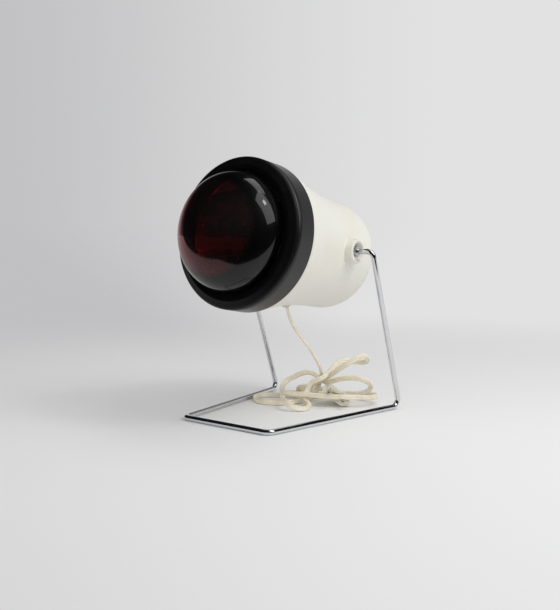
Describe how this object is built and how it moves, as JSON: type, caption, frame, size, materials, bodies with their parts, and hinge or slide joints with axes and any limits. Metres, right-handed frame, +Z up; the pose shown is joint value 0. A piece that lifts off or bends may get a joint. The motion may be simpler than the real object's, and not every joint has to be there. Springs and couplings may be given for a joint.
{
  "type": "infrared heat lamp",
  "caption": "Table-top infrared heat lamp: red reflector bulb in a bell housing that tilts in a bent-wire stand, with a coiled flex and two-pin plug.",
  "frame": {"origin": "on the floor, under the middle of the lamp's box without its free cord", "axes": "+Z up, the lamp faces -Y, +X on the right of someone who looks at its face; the pivot runs along X"},
  "size_m": [0.1872, 0.2497, 0.2781],
  "materials": {
    "chromed_steel": "polished",
    "zinc_steel": "bright zinc",
    "fibre": "matt",
    "housing_ivory": "smooth satin",
    "ring_black": "satin",
    "shield_aluminium": "bright",
    "bulb_ruby_glass": "polished",
    "bulb_reflector_coat": "mirror",
    "bulb_clear_glass": "polished",
    "bulb_black_glass": "polished",
    "nickel_brass": "nickel plated",
    "tungsten": "drawn wire",
    "porcelain": "glazed",
    "brass": "machined",
    "cord_cream": "smooth satin",
    "lead_brown": "satin",
    "lead_blue": "satin",
    "gland_ivory": "satin"
  },
  "bodies": {
    "stand": {"stand_wire": "chromed_steel", "pivot_outer_washers": "zinc_steel", "pivot_outer_nuts": "zinc_steel", "pivot_inner_washers": "zinc_steel", "pivot_spring_washers": "zinc_steel", "pivot_inner_nuts": "zinc_steel", "cord_drop": "cord_cream", "cord_hank": "cord_cream", "plug_body": "cord_cream", "plug_pins": "nickel_brass"},
    "head": {"pivot_bushes": "fibre", "housing_shell": "housing_ivory", "front_ring": "ring_black", "heat_shield": "shield_aluminium", "bulb_glass": "bulb_ruby_glass", "bulb_reflector": "bulb_reflector_coat", "bulb_cap": "nickel_brass", "bulb_cap_insulator": "bulb_black_glass", "bulb_centre_contact": "brass", "bulb_stem": "bulb_clear_glass", "bulb_support_wires": "tungsten", "bulb_filament": "tungsten", "holder_body": "porcelain", "holder_sleeve": "nickel_brass", "holder_contact": "brass", "holder_terminals": "brass", "holder_terminal_screws": "zinc_steel", "holder_strap": "zinc_steel", "holder_strap_screws": "zinc_steel", "holder_nipple": "zinc_steel", "holder_nut": "zinc_steel", "cord_gland": "gland_ivory", "cord_stop": "brass", "cord_stop_screw": "zinc_steel", "cord_tail": "cord_cream", "lead_live": "lead_brown", "lead_neutral": "lead_blue"}
  },
  "joints": [
    {"name": "head_tilt", "type": "hinge", "parent": "stand", "child": "head", "pos_m": [0, 0.04596, 0.18], "axis": [1, 0, 0], "range_deg": [-75, 50], "deforming": ["cord_drop"]}
  ]
}
